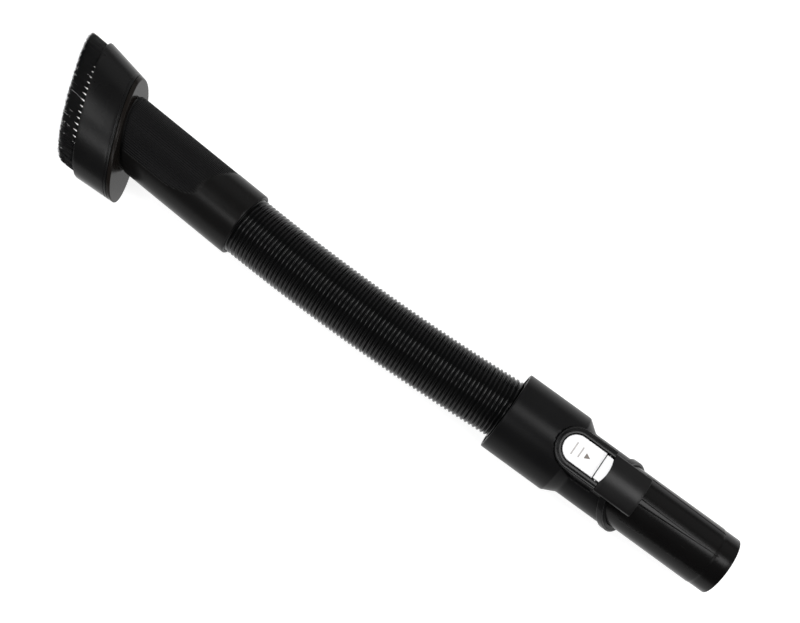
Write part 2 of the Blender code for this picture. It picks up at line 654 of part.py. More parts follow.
def build_bristles(slide, place, base, inset):
    """One ring of bristles, longest in the middle of the oval and leaning along the wand."""
    def tips(inward):
        row = []
        for point in oval(-BRUSH_DEPTH, inward):
            across = (point.y - BRUSH_OFFSET - BRUSH_LEAN - BRUSH_DEPTH * tan(CUT_ANGLE))
            across /= BRUSH_HALF_LENGTH
            reach = BRISTLE_REACH - (BRISTLE_REACH - BRISTLE_END_REACH) * across * across
            row.append(point + reach * Vector((-cos(CUT_ANGLE), sin(CUT_ANGLE), 0)))
        return row

    outer, inner = inset, inset + BRISTLE_WIDTH
    rings = [oval(base, outer), tips(outer), tips(inner), oval(base, inner)]
    loft("bristles", rings, slide, place, plastic("bristles", (0.01, 0.01, 0.012), 0.7))


# ---- Whole tool ------------------------------------------------------------------------------

def stand_on_origin():
    """Move the tool so that the origin is under the middle of its bounding box."""
    bpy.context.view_layer.update()
    depsgraph = bpy.context.evaluated_depsgraph_get()
    low, high = Vector((1e9,) * 3), Vector((-1e9,) * 3)
    for item in model.objects:
        if item.type != "MESH":
            continue
        shown = item.evaluated_get(depsgraph)
        for vertex in shown.data.vertices:
            place = shown.matrix_world @ vertex.co
            low = Vector(map(min, low, place))
            high = Vector(map(max, high, place))
    root.location = (-(low.x + high.x) / 2, -(low.y + high.y) / 2, -low.z)


def build_tool():
    start_scene()
    build_spigot()
    build_shell()
    build_collar()
    build_frame()
    build_lever()
    build_spring()
    swivel = build_swivel()
    last_bend = build_hose(swivel)
    wand = build_wand(last_bend)
    build_brush(last_bend, wand)
    stand_on_origin()


build_tool()
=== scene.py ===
import math
import bpy
import numpy as np
from mathutils import Matrix, Vector


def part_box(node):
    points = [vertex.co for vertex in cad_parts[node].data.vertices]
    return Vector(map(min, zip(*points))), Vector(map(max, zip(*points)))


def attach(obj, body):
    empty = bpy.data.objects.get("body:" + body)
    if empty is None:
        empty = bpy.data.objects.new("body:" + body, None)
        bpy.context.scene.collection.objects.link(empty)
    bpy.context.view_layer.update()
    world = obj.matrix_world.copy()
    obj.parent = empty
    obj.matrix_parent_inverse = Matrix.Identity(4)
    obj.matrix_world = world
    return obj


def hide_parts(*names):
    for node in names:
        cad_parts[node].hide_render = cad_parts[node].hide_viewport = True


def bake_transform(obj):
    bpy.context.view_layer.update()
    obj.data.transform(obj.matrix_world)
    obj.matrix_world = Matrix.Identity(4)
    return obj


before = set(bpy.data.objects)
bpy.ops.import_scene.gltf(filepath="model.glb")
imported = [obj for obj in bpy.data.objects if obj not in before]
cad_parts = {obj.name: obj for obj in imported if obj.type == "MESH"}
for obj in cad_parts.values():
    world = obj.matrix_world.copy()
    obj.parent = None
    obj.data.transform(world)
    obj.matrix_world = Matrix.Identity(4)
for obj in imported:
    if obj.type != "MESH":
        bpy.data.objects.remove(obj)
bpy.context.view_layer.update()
mm = 0.001
print("frame loaded:", len(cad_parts), "nodes")

# the tube axis runs along X; distances along it count from the spigot's open end, hose side negative
washerLow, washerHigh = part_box("swivel_washer")
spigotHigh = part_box("spigot_tube")[1]
axisStart = np.array([spigotHigh.x, (washerLow.y + washerHigh.y) / 2, (washerLow.z + washerHigh.z) / 2])


# how every piece is built and turned into a mesh
def smoothStep(values):
    # rises from 0 to 1 and is level at both ends: three squares less two cubes
    t = np.clip(values, 0, 1)
    return t * t * (3 - 2 * t)


def placeInScene(name, data):
    made = bpy.data.objects.new(name, data)
    bpy.context.scene.collection.objects.link(made)
    return made


def makePiece(name, points, faces, material, body=None, slot=None, nodes=(), sharp=40):
    # a closed mesh from points (n, 3) in the tube's frame and a list of face arrays; turned right side out
    points = np.asarray(points, float) + axisStart
    signed = 0.0
    for group in faces:
        corners = points[group] - axisStart
        for k in range(1, group.shape[1] - 1):
            signed += np.einsum("ij,ij->i", corners[:, 0], np.cross(corners[:, k], corners[:, k + 1])).sum()
    rows = [row for group in faces for row in (group if signed > 0 else group[:, ::-1]).tolist()]
    mesh = bpy.data.meshes.new(name)
    mesh.from_pydata(points.tolist(), [], rows)
    mesh.shade_smooth()
    mesh.set_sharp_from_angle(angle=math.radians(sharp))
    mesh.materials.append(material)
    piece = placeInScene(name, mesh)
    if nodes:
        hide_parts(*nodes)
    if body:
        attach(piece, body)
    return piece


def gridFaces(rows, columns, wrapRows):
    # four corners of every cell of a grid whose columns go round
    i = np.arange(rows if wrapRows else rows - 1)[:, None]
    j = np.arange(columns)[None, :]
    k, l = (i + 1) % rows, (j + 1) % columns
    return np.stack([i * columns + j, i * columns + l, k * columns + l, k * columns + j], -1).reshape(-1, 4)


def ringPiece(name, grid, material, **more):
    # grid (rows, columns, 3): rows go round the wall's section, columns round the tube
    rows, columns = grid.shape[:2]
    return makePiece(name, grid.reshape(-1, 3), [gridFaces(rows, columns, True)], material, **more)


def barPiece(name, grid, material, **more):
    # grid (rows, columns, 3): each row is a closed outline, and both ends are closed round their middle
    rows, columns = grid.shape[:2]
    points = np.vstack([grid.reshape(-1, 3), grid[0].mean(0)[None], grid[-1].mean(0)[None]])
    j = np.arange(columns)
    following = (j + 1) % columns
    first = np.stack([following, j, np.full(columns, rows * columns)], -1)
    last = np.stack([(rows - 1) * columns + j, (rows - 1) * columns + following,
                     np.full(columns, rows * columns + 1)], -1)
    return makePiece(name, points, [gridFaces(rows, columns, False), first, last], material, **more)


def turnedGrid(profile, sides):
    # a profile of (place along the axis, radius) swept round X
    profile = np.array(profile, float)
    turn = np.linspace(0, 2 * np.pi, sides, endpoint=False)
    along = np.repeat(profile[:, :1], sides, 1)
    return np.stack([along, -profile[:, 1:] * np.sin(turn), profile[:, 1:] * np.cos(turn)], -1)


def finer(profile, step):
    # the same profile with more points on its long straight runs
    profile = np.array(profile, float)
    out = [profile[:1]]
    for a, b in zip(profile[:-1], profile[1:]):
        count = max(1, int(np.ceil(np.linalg.norm(b - a) / step)))
        t = np.linspace(0, 1, count + 1)[1:, None]
        out.append(a + (b - a) * t)
    return np.vstack(out)


def rounded(corners, radius, steps=4):
    # a closed outline with each corner cut back and rounded; radius is one number, or one for each corner
    corners = np.array(corners, float)
    radii = np.broadcast_to(radius, len(corners))
    out = []
    for k in range(len(corners)):
        here, before, after = corners[k], corners[k - 1], corners[(k + 1) % len(corners)]
        if radii[k] <= 0:
            out.append(here[None])
            continue
        inward = (before - here) / np.linalg.norm(before - here)
        outward = (after - here) / np.linalg.norm(after - here)
        a, b = here + inward * radii[k], here + outward * radii[k]
        t = np.linspace(0, 1, steps + 1)[:, None]
        out.append(a * (1 - t) ** 2 + here * 2 * t * (1 - t) + b * t * t)
    return np.vstack(out)


def edgeLevels(low, high, edge, steps=4):
    # (height, inset) pairs that round both edges of a slab
    bend = np.linspace(0, np.pi / 2, steps + 1)
    lower = np.stack([low + edge * (1 - np.sin(bend)), edge * (1 - np.cos(bend))], -1)[::-1]
    upper = np.stack([high - edge * (1 - np.sin(bend)), edge * (1 - np.cos(bend))], -1)
    return np.vstack([lower, upper])


def turnedBy(points, place):
    # points carried by a 4x4 place
    return points @ np.array(place)[:3, :3].T + np.array(place)[:3, 3]


# node helpers and finishes
def link(tree, source, target):
    tree.links.new(source, target)


def startMaterial(name):
    material = bpy.data.materials.new(name)
    material.use_nodes = True
    return material, material.node_tree, material.node_tree.nodes["Principled BSDF"]


def startGroup(name, inputs, outputs):
    tree = bpy.data.node_groups.new(name, "ShaderNodeTree")
    for label, kind, value in inputs:
        socket = tree.interface.new_socket(name=label, in_out="INPUT", socket_type=kind)
        if value is not None:
            socket.default_value = value
    for label, kind in outputs:
        tree.interface.new_socket(name=label, in_out="OUTPUT", socket_type=kind)
    return tree, tree.nodes.new("NodeGroupInput"), tree.nodes.new("NodeGroupOutput")


def mathNode(tree, operation, a, b=None):
    node = tree.nodes.new("ShaderNodeMath")
    node.operation = operation
    for socket, value in zip(node.inputs, (a, b)):
        if value is None:
            continue
        if isinstance(value, (int, float)):
            socket.default_value = value
        else:
            link(tree, value, socket)
    return node.outputs[0]


def noiseNode(tree, vector, scale, detail=3.0, rough=0.55):
    node = tree.nodes.new("ShaderNodeTexNoise")
    node.inputs["Detail"].default_value = detail
    node.inputs["Roughness"].default_value = rough
    link(tree, vector, node.inputs["Vector"])
    if isinstance(scale, (int, float)):
        node.inputs["Scale"].default_value = scale
    else:
        link(tree, scale, node.inputs["Scale"])
    return node.outputs["Fac"]


def mouldedGrain():
    # fine spark-eroded grain as a height, and a slow unevenness of the gloss
    tree, given, out = startGroup(
        "mouldedGrain",
        [("Vector", "NodeSocketVector", None), ("Grain Scale", "NodeSocketFloat", 2600.0),
         ("Cloud Scale", "NodeSocketFloat", 45.0)],
        [("Height", "NodeSocketFloat"), ("Cloud", "NodeSocketFloat")])
    fine = noiseNode(tree, given.outputs["Vector"], given.outputs["Grain Scale"], 2.0)
    cloud = noiseNode(tree, given.outputs["Vector"], given.outputs["Cloud Scale"], 3.0)
    link(tree, fine, out.inputs["Height"])
    link(tree, cloud, out.inputs["Cloud"])
    return tree


def handlingMarks():
    # hairline scratches along X and rubbed patches, both as masks from 0 to 1
    tree, given, out = startGroup(
        "handlingMarks",
        [("Vector", "NodeSocketVector", None), ("Amount", "NodeSocketFloat", 0.5)],
        [("Scratches", "NodeSocketFloat"), ("Rubbed", "NodeSocketFloat")])
    stretch = tree.nodes.new("ShaderNodeMapping")
    stretch.inputs["Scale"].default_value = (0.12, 1.0, 1.0)
    stretch.inputs["Rotation"].default_value = (0.0, 0.0, 0.35)
    link(tree, given.outputs["Vector"], stretch.inputs["Vector"])
    lines = noiseNode(tree, stretch.outputs["Vector"], 900.0, 2.0, 0.7)
    thin = mathNode(tree, "GREATER_THAN", lines, 0.72)
    where = noiseNode(tree, given.outputs["Vector"], 60.0, 2.0)
    patch = mathNode(tree, "GREATER_THAN", where, 0.56)
    scratches = mathNode(tree, "MULTIPLY", mathNode(tree, "MULTIPLY", thin, patch), given.outputs["Amount"])
    link(tree, scratches, out.inputs["Scratches"])
    rubbed = mathNode(tree, "MULTIPLY", mathNode(tree, "POWER", where, 3.0), given.outputs["Amount"])
    link(tree, rubbed, out.inputs["Rubbed"])
    return tree


grainGroup = mouldedGrain()
marksGroup = handlingMarks()


def plastic(name, color, roughness, grain=0.004, gloss=0.10, marks=0.3, dust=0.35, ior=1.5):
    # moulded plastic: grain in the normal, an uneven gloss, faint scratches and a trace of dust in the colour
    material, tree, shader = startMaterial(name)
    shader.inputs["IOR"].default_value = ior
    where = tree.nodes.new("ShaderNodeTexCoord").outputs["Object"]
    grainNode = tree.nodes.new("ShaderNodeGroup")
    grainNode.node_tree = grainGroup
    marksNode = tree.nodes.new("ShaderNodeGroup")
    marksNode.node_tree = marksGroup
    marksNode.inputs["Amount"].default_value = marks
    for node in (grainNode, marksNode):
        link(tree, where, node.inputs["Vector"])
    tint = tree.nodes.new("ShaderNodeMix")
    tint.data_type = "RGBA"
    tint.inputs["A"].default_value = (*color, 1)
    tint.inputs["B"].default_value = (*[min(1.0, c * 1.35 + 0.004) for c in color], 1)
    shade = mathNode(tree, "ADD", mathNode(tree, "MULTIPLY", grainNode.outputs["Cloud"], dust),
                     marksNode.outputs["Scratches"])
    link(tree, shade, tint.inputs["Factor"])
    link(tree, tint.outputs["Result"], shader.inputs["Base Color"])
    uneven = mathNode(tree, "MULTIPLY", mathNode(tree, "SUBTRACT", grainNode.outputs["Cloud"], 0.5), gloss)
    level = mathNode(tree, "ADD", uneven, roughness)
    scratched = mathNode(tree, "MULTIPLY", marksNode.outputs["Scratches"], 0.12)
    polished = mathNode(tree, "MULTIPLY", marksNode.outputs["Rubbed"], 0.10)
    level = mathNode(tree, "SUBTRACT", mathNode(tree, "ADD", level, scratched), polished)
    link(tree, level, shader.inputs["Roughness"])
    if grain:
        bump = tree.nodes.new("ShaderNodeBump")
        bump.inputs["Distance"].default_value = grain * mm
        bump.inputs["Strength"].default_value = 0.6
        link(tree, grainNode.outputs["Height"], bump.inputs["Height"])
        link(tree, bump.outputs["Normal"], shader.inputs["Normal"])
    return material


# base colour and roughness of each finish; the rest are depths in millimetres and shares of 1
finishes = {
    "shell": plastic("satinShell", (0.0050, 0.0050, 0.0052), 0.34, grain=0.012, ior=1.17),
    "frame": plastic("frameBlack", (0.0046, 0.0046, 0.0048), 0.27, grain=0.006, ior=1.24),
    "spigot": plastic("polishedSpigot", (0.0027, 0.0025, 0.0025), 0.27, grain=0.003, gloss=0.05, marks=0.6,
                      ior=1.22),
    "tongue": plastic("satinTongue", (0.0054, 0.0052, 0.0053), 0.36, grain=0.010, ior=1.26),
    "pad": plastic("whitePad", (0.86, 0.86, 0.865), 0.30, grain=0.003, gloss=0.04, marks=0.15, dust=0.1,
                   ior=1.4),
    "mark": plastic("printedMark", (0.14, 0.115, 0.10), 0.45, grain=0.0, marks=0.0),
    "markPale": plastic("printedMarkPale", (0.42, 0.40, 0.39), 0.45, grain=0.0, marks=0.0),
    "hose": plastic("hoseBlack", (0.0032, 0.0033, 0.0034), 0.17, grain=0.003, gloss=0.06, marks=0.2,
                    ior=1.25),
    "wand": plastic("satinWand", (0.0052, 0.0050, 0.0049), 0.31, grain=0.010, ior=1.19),
    "grip": plastic("gripBlack", (0.0034, 0.0034, 0.0036), 0.44, grain=0.010, marks=0.2, ior=1.18),
    "skirt": plastic("satinSkirt", (0.0052, 0.0052, 0.0053), 0.28, grain=0.008, ior=1.24),
    "plate": plastic("glossPlate", (0.0090, 0.0075, 0.0065), 0.20, grain=0.002, gloss=0.06, marks=0.5,
                     ior=1.15),
    "inner": plastic("innerBlack", (0.0040, 0.0040, 0.0042), 0.50, grain=0.010, ior=1.3),
    "rubber": plastic("softWasher", (0.0120, 0.0120, 0.0120), 0.75, grain=0.020, marks=0.0),
    "fibre": plastic("bristleFibre", (0.0030, 0.0031, 0.0036), 0.38, grain=0.0, gloss=0.2, marks=0.0,
                     dust=0.8, ior=1.3),
}


def steel():
    # bare metal whose roughness follows a fine noise
    material, tree, shader = startMaterial("plainSteel")
    shader.inputs["Metallic"].default_value = 1.0
    shader.inputs["Base Color"].default_value = (0.55, 0.55, 0.56, 1)
    where = tree.nodes.new("ShaderNodeTexCoord").outputs["Object"]
    lines = noiseNode(tree, where, 1800.0)
    link(tree, mathNode(tree, "ADD", mathNode(tree, "MULTIPLY", lines, 0.2), 0.2), shader.inputs["Roughness"])
    return material


finishes["steel"] = steel()
for node, finish in (("lever_pin", "steel"), ("lever_spring", "steel"), ("swivel_washer", "rubber"),
                     ("swivel_collar", "inner"), ("wand_collar", "inner")):
    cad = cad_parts[node]
    cad.data.materials.clear()
    cad.data.materials.append(finishes[finish])
print("materials made:", len(finishes))


# camera, floor and light, in metres and degrees
view = {
    "spot": (0.05294, -0.16448, 0.72643),
    "aim": (0.00345, 0.01124, 0.02563),
    "roll": 36.925,                       # degrees about the line of sight
    "lens": 54.63,
}
camera = bpy.data.cameras.new("camera")
camera.lens = view["lens"]
camera.sensor_width = 36
camera.clip_start = 0.01
cameraObject = placeInScene("camera", camera)
backwards = (Vector(view["spot"]) - Vector(view["aim"])).normalized()
sideways = Vector((0, 1, 0)).cross(backwards).normalized()
facing = Matrix((sideways, backwards.cross(sideways), backwards)).transposed().to_4x4()
cameraObject.matrix_world = (Matrix.Translation(view["spot"]) @ facing
                             @ Matrix.Rotation(math.radians(view["roll"]), 4, "Z"))
bpy.context.scene.camera = cameraObject

panels = {
    "nearStrip": {"spot": (0.335, 0.150, 1.20), "size": (0.52, 0.42), "turn": -32.0, "glow": 11.0},
    "farStrip": {"spot": (-0.26, -0.63, 1.15), "size": (0.80, 0.34), "turn": -12.0, "glow": 6.4},
    "leftPatch": {"spot": (-0.63, -0.10, 1.20), "size": (0.12, 0.22), "turn": 0.0, "glow": 14.0},
    "sideSky": {"spot": (0.05, 1.35, 0.95), "size": (2.4, 1.2), "glow": 0.62},
    "rightEnd": {"spot": (1.25, 0.05, 1.05), "size": (0.9, 0.9), "glow": 1.9},
    "leftEnd": {"spot": (-1.25, -0.05, 1.05), "size": (0.9, 0.9), "glow": 1.9},
}
for name, light in panels.items():
    made = bpy.data.lights.new(name, "AREA")
    made.shape = "RECTANGLE"
    made.size, made.size_y = light["size"]
    # a panel's power is its brightness times pi times its area
    made.energy = light["glow"] * math.pi * light["size"][0] * light["size"][1]
    lamp = placeInScene(name, made)
    lamp.location = light["spot"]
    # a panel with a turn faces straight down, the others face the object
    if "turn" in light:
        lamp.rotation_euler = (0, 0, math.radians(light["turn"]))
    else:
        away = Vector((0, 0, 0.02)) - Vector(light["spot"])
        lamp.rotation_euler = away.to_track_quat("-Z", "Y").to_euler()

studio = {"world": 0.05, "floor": (0.45, 0.45, 0.45), "floorRoughness": 0.9, "floorGlow": 0.84, "reach": 3}
world = bpy.data.worlds.new("studio")
bpy.context.scene.world = world
world.use_nodes = True
world.node_tree.nodes["Background"].inputs["Color"].default_value = (1, 1, 1, 1)
world.node_tree.nodes["Background"].inputs["Strength"].default_value = studio["world"]
bpy.context.scene.view_settings.view_transform = "Standard"

floorMesh = bpy.data.meshes.new("floor")
floorMesh.from_pydata([(x * studio["reach"], y * studio["reach"], 0)
                       for x, y in ((-1, -1), (1, -1), (1, 1), (-1, 1))], [], [(0, 1, 2, 3)])
floor = placeInScene("floor", floorMesh)
floorMaterial, _, floorShader = startMaterial("paleFloor")
floorShader.inputs["Base Color"].default_value = (*studio["floor"], 1)
floorShader.inputs["Roughness"].default_value = studio["floorRoughness"]
floorShader.inputs["Emission Color"].default_value = (1, 1, 1, 1)
floorShader.inputs["Emission Strength"].default_value = studio["floorGlow"]
floorMesh.materials.append(floorMaterial)
print("camera, floor and light set")


# the spigot's sizes are in millimetres, as are those of every piece below
spigot = {
    "radius": 18.85, "wall": 2.0, "nose": 10.0, "step": 0.32, "back": -123.5, "flange": 22.9,
    "flangeWidth": 2.2, "stepLength": 1.3, "sides": 160,
    "keyFrom": -8.6, "keyTo": -64.0, "keyWidth": 4.3, "keyRise": 0.9, "keyAt": 2.4, "keyDrift": 2.7,
    "lineFrom": -10.2, "lineTo": -66.0, "lineAt": 52.0, "lineSet": 3.2, "lineDrift": 0.115, "lineWidth": 1.1,
    "lineRise": 0.28, "ribSink": 0.6, "ribFade": 1.2, "ribEnd": 0.4,
}


def makeSpigot(s):
    # a plain tube with a stepped nose and rounded rim, and a flange at its hidden end
    tip, bore, back = s["radius"] - s["step"], s["radius"] - s["wall"], s["back"]
    end = back - s["flangeWidth"]
    outline = [(back, s["radius"]), (back, s["flange"]), (end, s["flange"]), (end, bore)]
    # corners rounded along the true outline: rim first, then the nose, the body and back up the bore
    corners = [(0, bore), (0, tip), (-s["nose"], tip), (-s["nose"] - s["stepLength"], s["radius"])] + outline
    profile = rounded(corners, [0.35, 0.55, 0.5, 0.6, 0.2, 0.2, 0.2, 0.2])
    profile = finer(np.vstack([profile, profile[:1]]), 4.0)[:-1] * mm
    ringPiece("spigotTube", turnedGrid(profile, s["sides"]), finishes["spigot"], body="connector",
              slot="spigot_black", nodes=["spigot_tube"], sharp=50)


def ribOn(name, s, fromX, toX, width, rise, at):
    # a low rib along the tube: a flat-topped hump over an arc, fading at both ends; width and at (its
    # middle's angle in degrees) are given at each of the places along X
    along = np.linspace(fromX, toX, 90)
    ease = smoothStep((fromX - along) / s["ribFade"]) * smoothStep((along - toX) / s["ribEnd"])
    u = np.linspace(-1, 1, 15)
    top = (1 - np.abs(u) ** 9)[None, :] * rise * ease[:, None]
    turnTop = np.radians(at(along))[:, None] + (u[None, :] * width(along)[:, None] / 2) / s["radius"]
    high = s["radius"] + top
    low = np.full_like(high, s["radius"] - s["ribSink"])
    angle, reach = np.hstack([turnTop, turnTop[:, ::-1]]), np.hstack([high, low])
    x = np.repeat(along[:, None], 2 * len(u), 1)
    grid = np.stack([x, -reach * np.sin(angle), reach * np.cos(angle)], -1) * mm
    return barPiece(name, grid, finishes["spigot"], body="connector", slot="spigot_black", sharp=60)


def makeRibs(s):
    # the key rib widens from its tip; the two mould lines drift slowly round the tube
    keyLength = s["keyFrom"] - s["keyTo"]
    ribOn("keyRib", s, s["keyFrom"], s["keyTo"],
          lambda x: s["keyWidth"] * np.clip((s["keyFrom"] - x) / keyLength, 0.08, 1),
          s["keyRise"], lambda x: s["keyAt"] - s["keyDrift"] * (x - s["keyFrom"]) / 55)
    for name, side in (("mouldLineNear", 1), ("mouldLineFar", -1)):
        ribOn(name, s, s["lineFrom"], s["lineTo"], lambda x: np.full_like(x, s["lineWidth"]), s["lineRise"],
              lambda x, side=side: side * (s["lineAt"] - s["lineSet"] - s["lineDrift"] * (x + 10)))


makeSpigot(spigot)
makeRibs(spigot)
print("spigot made")


# connector: shell, collar and button frame, with the lock's own sizes
shell = {
    "body": 20.6, "bore": 19.15, "cuff": 25.6, "cuffBore": 23.2, "mouth": -153.5, "shoulder": -111.0,
    "shoulderLength": 8.5, "lip": -68.0, "slant": 31.0, "collar": 3.6, "collarRise": 1.3, "collarSink": 0.5,
    "recessMargin": 0.3, "recessBlend": 0.9, "recessFloor": 0.22, "boreMargin": 0.01, "sides": 240,
    "sideways": 0.9,                      # how far the body sits off the tube's axis, toward the near side
}
lock = {
    "left": -122.2, "right": -89.0, "half": 13.0, "top": 25.4, "wall": 4.0, "padGap": 0.6, "padThick": 2.0,
    "stripLength": 4.7, "stripDrop": 0.62, "stripHalf": 7.9, "stripBow": 1.5, "tongueEnd": -63.3,
    "tongueBore": 22.2, "tongueThick": 2.1, "tongueHalf": 12.7, "tongueGap": 0.5, "tongueEdge": 0.4,
    "padSeam": 0.3, "padDome": 0.10, "stripGap": 0.55, "outerEdge": 0.35, "innerEdge": 0.6, "topFall": 0.5,
    "legReach": 9.4,
}


def insideStadium(x, y, left, right, half):
    # signed distance to an outline with a round left end and a square right end: negative inside
    roundPart = np.hypot(np.minimum(x - (left + half), 0), y) - half
    return np.maximum(roundPart, x - right)


def makeShell(s, k):
    # a surface of revolution whose front end is cut by the slanted lip, and whose wall sinks under the lock
    slope = rounded([(s["mouth"], s["cuff"]), (s["shoulder"] + 0.5, s["cuff"]),
                     (s["shoulder"] + s["shoulderLength"], s["body"]), (s["lip"], s["body"])],
                    [0, 0.5, 1.1, 0], 6)[1:-1]
    rim = rounded([(s["mouth"], s["cuffBore"]), (s["mouth"], s["cuff"]), (s["shoulder"], s["cuff"])],
                  [0.3, 0.9, 0], 5)[:-1]
    cuffSide = finer(np.vstack([rim[-1:], slope]), 0.8)[1:]
    straight = slope[-1, 0]
    turn = np.linspace(0, 2 * np.pi, s["sides"], endpoint=False)
    tilt = math.tan(math.radians(s["slant"]))
    lipOut = s["lip"] - s["body"] * np.cos(turn) * tilt
    lipIn = s["lip"] - s["bore"] * np.cos(turn) * tilt
    innerShoulder = s["shoulder"] + s["shoulderLength"] / 2

    def level(x, r):
        return np.broadcast_to(x, turn.shape), np.full_like(turn, r)

    rows = [level(x, r) for x, r in np.vstack([rim, cuffSide])]
    rows += [level(straight + (lipOut - straight) * t, s["body"]) for t in np.linspace(0, 1, 60)[1:]]
    outerRows = len(rows)
    rows += [level(lipIn + (innerShoulder - lipIn) * t, s["bore"]) for t in np.linspace(0, 1, 40)[:-1]]
    rows += [level(x, r) for x, r in finer([(innerShoulder, s["bore"]), (s["shoulder"], s["cuffBore"]),
                                            (s["mouth"] + 0.3, s["cuffBore"])], 1.2)]
    x, r = np.array(rows).transpose(1, 0, 2)
    outer = (np.arange(len(rows)) < outerRows)[:, None]
    margin = s["recessMargin"]
    depth = insideStadium(x, -r * np.sin(turn), k["left"] - margin, k["right"] + margin, k["half"] + margin)
    sink = smoothStep(-depth / s["recessBlend"]) * (np.cos(turn) > 0)
    recess = s["bore"] + np.where(outer, s["recessFloor"], s["boreMargin"])
    r = r + (np.minimum(recess, r) - r) * sink
    off = s["sideways"] * smoothStep((x - s["shoulder"]) / s["shoulderLength"]) * outer
    grid = np.stack([x, -r * np.sin(turn) - off, r * np.cos(turn)], -1) * mm
    ringPiece("connectorShell", grid, finishes["shell"], body="connector", slot="shell_black",
              nodes=["connector_shell"], sharp=35)


def makeCollar(s):
    # a rounded bead carried round the body in the slanted lip's plane
    turn = np.linspace(0, 2 * np.pi, 200, endpoint=False)
    low, high = s["body"] - s["collarSink"], s["body"] + s["collarRise"]
    lean = math.radians(s["slant"])
    section = rounded([(0.0, low), (0.0, high), (-s["collar"], high), (-s["collar"], low)],
                      [0, 0.55, 0.55, 0])
    along, r = section[:, :1], section[:, 1:]
    x = s["lip"] - r * np.cos(turn) * math.tan(lean) + along / math.cos(lean)
    grid = np.stack([x, -r * np.sin(turn) - s["sideways"], r * np.cos(turn)], -1) * mm
    ringPiece("collarBand", grid, finishes["frame"], body="connector", slot="shell_black",
              nodes=["collar_trim"], sharp=45)


def stadium(left, right, half, inset, steps=28):
    # outline with a round left end and a square right one, drawn in by an inset
    left, right, half = left + inset, right - inset, half - inset
    turn = np.linspace(np.pi / 2, 3 * np.pi / 2, steps)
    x = left + half + half * np.cos(turn)
    y = half * np.sin(turn)
    straight = np.linspace(left + half, right, 12)[1:]
    lower = np.stack([straight, np.full_like(straight, -half)], -1)
    across = np.linspace(-half, half, 9)[1:-1]
    side = np.stack([np.full_like(across, right), across], -1)
    upper = np.stack([straight[::-1], np.full_like(straight, half)], -1)
    return np.vstack([np.stack([x, y], -1), lower, side, upper])


def makeFrame(k, s):
    # a wall carried round three sides of the button; its section is flat on top with two soft edges
    middle = k["half"] - k["wall"] / 2
    turn = np.linspace(np.pi / 2, 3 * np.pi / 2, 40)
    leftX = k["left"] + k["half"]
    runIn = np.linspace(k["right"], leftX, 24)[:-1]
    x = np.concatenate([runIn, leftX + middle * np.cos(turn), runIn[::-1]])
    y = np.concatenate([np.full_like(runIn, middle), middle * np.sin(turn), np.full_like(runIn, -middle)])
    nx = np.concatenate([np.zeros_like(runIn), np.cos(turn), np.zeros_like(runIn)])
    ny = np.concatenate([np.ones_like(runIn), np.sin(turn), -np.ones_like(runIn)])
    half, outerEdge, innerEdge, fall = k["wall"] / 2, k["outerEdge"], k["innerEdge"], k["topFall"]
    # (place across the wall, share of the wall's height, drop below its top)
    section = [(-half, share, 0) for share in (0.0, 0.35, 0.7)]
    section += [(-half + outerEdge * (1 - math.cos(t)), 1.0, -outerEdge * (1 - math.sin(t)))
                for t in np.linspace(0, np.pi / 2, 5)]
    section += [(-0.2, 1.0, 0.0), (0.15, 1.0, -0.12), (0.5, 1.0, -0.42), (0.8, 1.0, -fall)]
    section += [(half - innerEdge * (1 - math.sin(t)), 1.0, -fall - innerEdge * (1 - math.cos(t)))
                for t in np.linspace(0, np.pi / 2, 6)]
    section += [(half, share, 0) for share in (0.7, 0.35, 0.0)]
    section = np.array(section)
    offset, share, drop = section[:, 0], section[:, 1], section[:, 2]
    px = x[:, None] + nx[:, None] * offset
    py = y[:, None] + ny[:, None] * offset
    bottom = np.sqrt(np.maximum((s["bore"] + 0.1) ** 2 - py ** 2, 0))
    pz = bottom + (k["top"] - bottom) * share + drop
    barPiece("buttonFrame", np.stack([px, py, pz], -1) * mm, finishes["frame"], body="connector",
             slot="shell_black", nodes=["button_frame"], sharp=50)


def makeLegs(k, s):
    # the frame's two legs run on beneath the tongue's sides as far as the lip: one section, carried along X
    x = np.linspace(k["right"] - 0.2, k["right"] + k["legReach"], 12)
    half = k["half"]
    y = np.array([half - 2.6, half - 1.3, half - 0.3, half, half, half - 2.6])
    low = np.sqrt((s["bore"] + 0.1) ** 2 - y[-2:] ** 2)
    high = np.sqrt((k["tongueBore"] - 0.35) ** 2 - y[:4] ** 2)
    high[3] -= 0.35
    z = np.concatenate([high, low])
    for name, side in (("frameLegNear", -1), ("frameLegFar", 1)):
        grid = np.stack(np.broadcast_arrays(x[:, None], side * y[None], z[None]), -1)
        barPiece(name, grid * mm, finishes["frame"], body="connector", slot="shell_black")


makeShell(shell, lock)
makeCollar(shell)
makeFrame(lock, shell)
makeLegs(lock, shell)
print("connector made")


def slab(name, outlineAt, levels, material, top=None, **more):
    # outlines stacked by height, each drawn in by its level's inset; top(x, y) lowers the upper side
    rows = []
    for height, inset, upper in levels:
        outline = outlineAt(inset)
        z = np.full(len(outline), height)
        if upper and top is not None:
            z = z + top(outline[:, 0], outline[:, 1])
        rows.append(np.column_stack([outline, z]))
    return barPiece(name, np.array(rows) * mm, material, **more)


def slabLevels(low, high, edge, inward):
    # bottom edge, side, rounded top edge, then the top drawn in to its middle
    pairs = edgeLevels(low, high, edge)
    half = len(pairs) // 2
    out = [(low, inward[-1], False)] + [(h, i, False) for h, i in pairs[:half]]
    out += [(h, i, True) for h, i in pairs[half:]]
    return out + [(high, i, True) for i in inward]


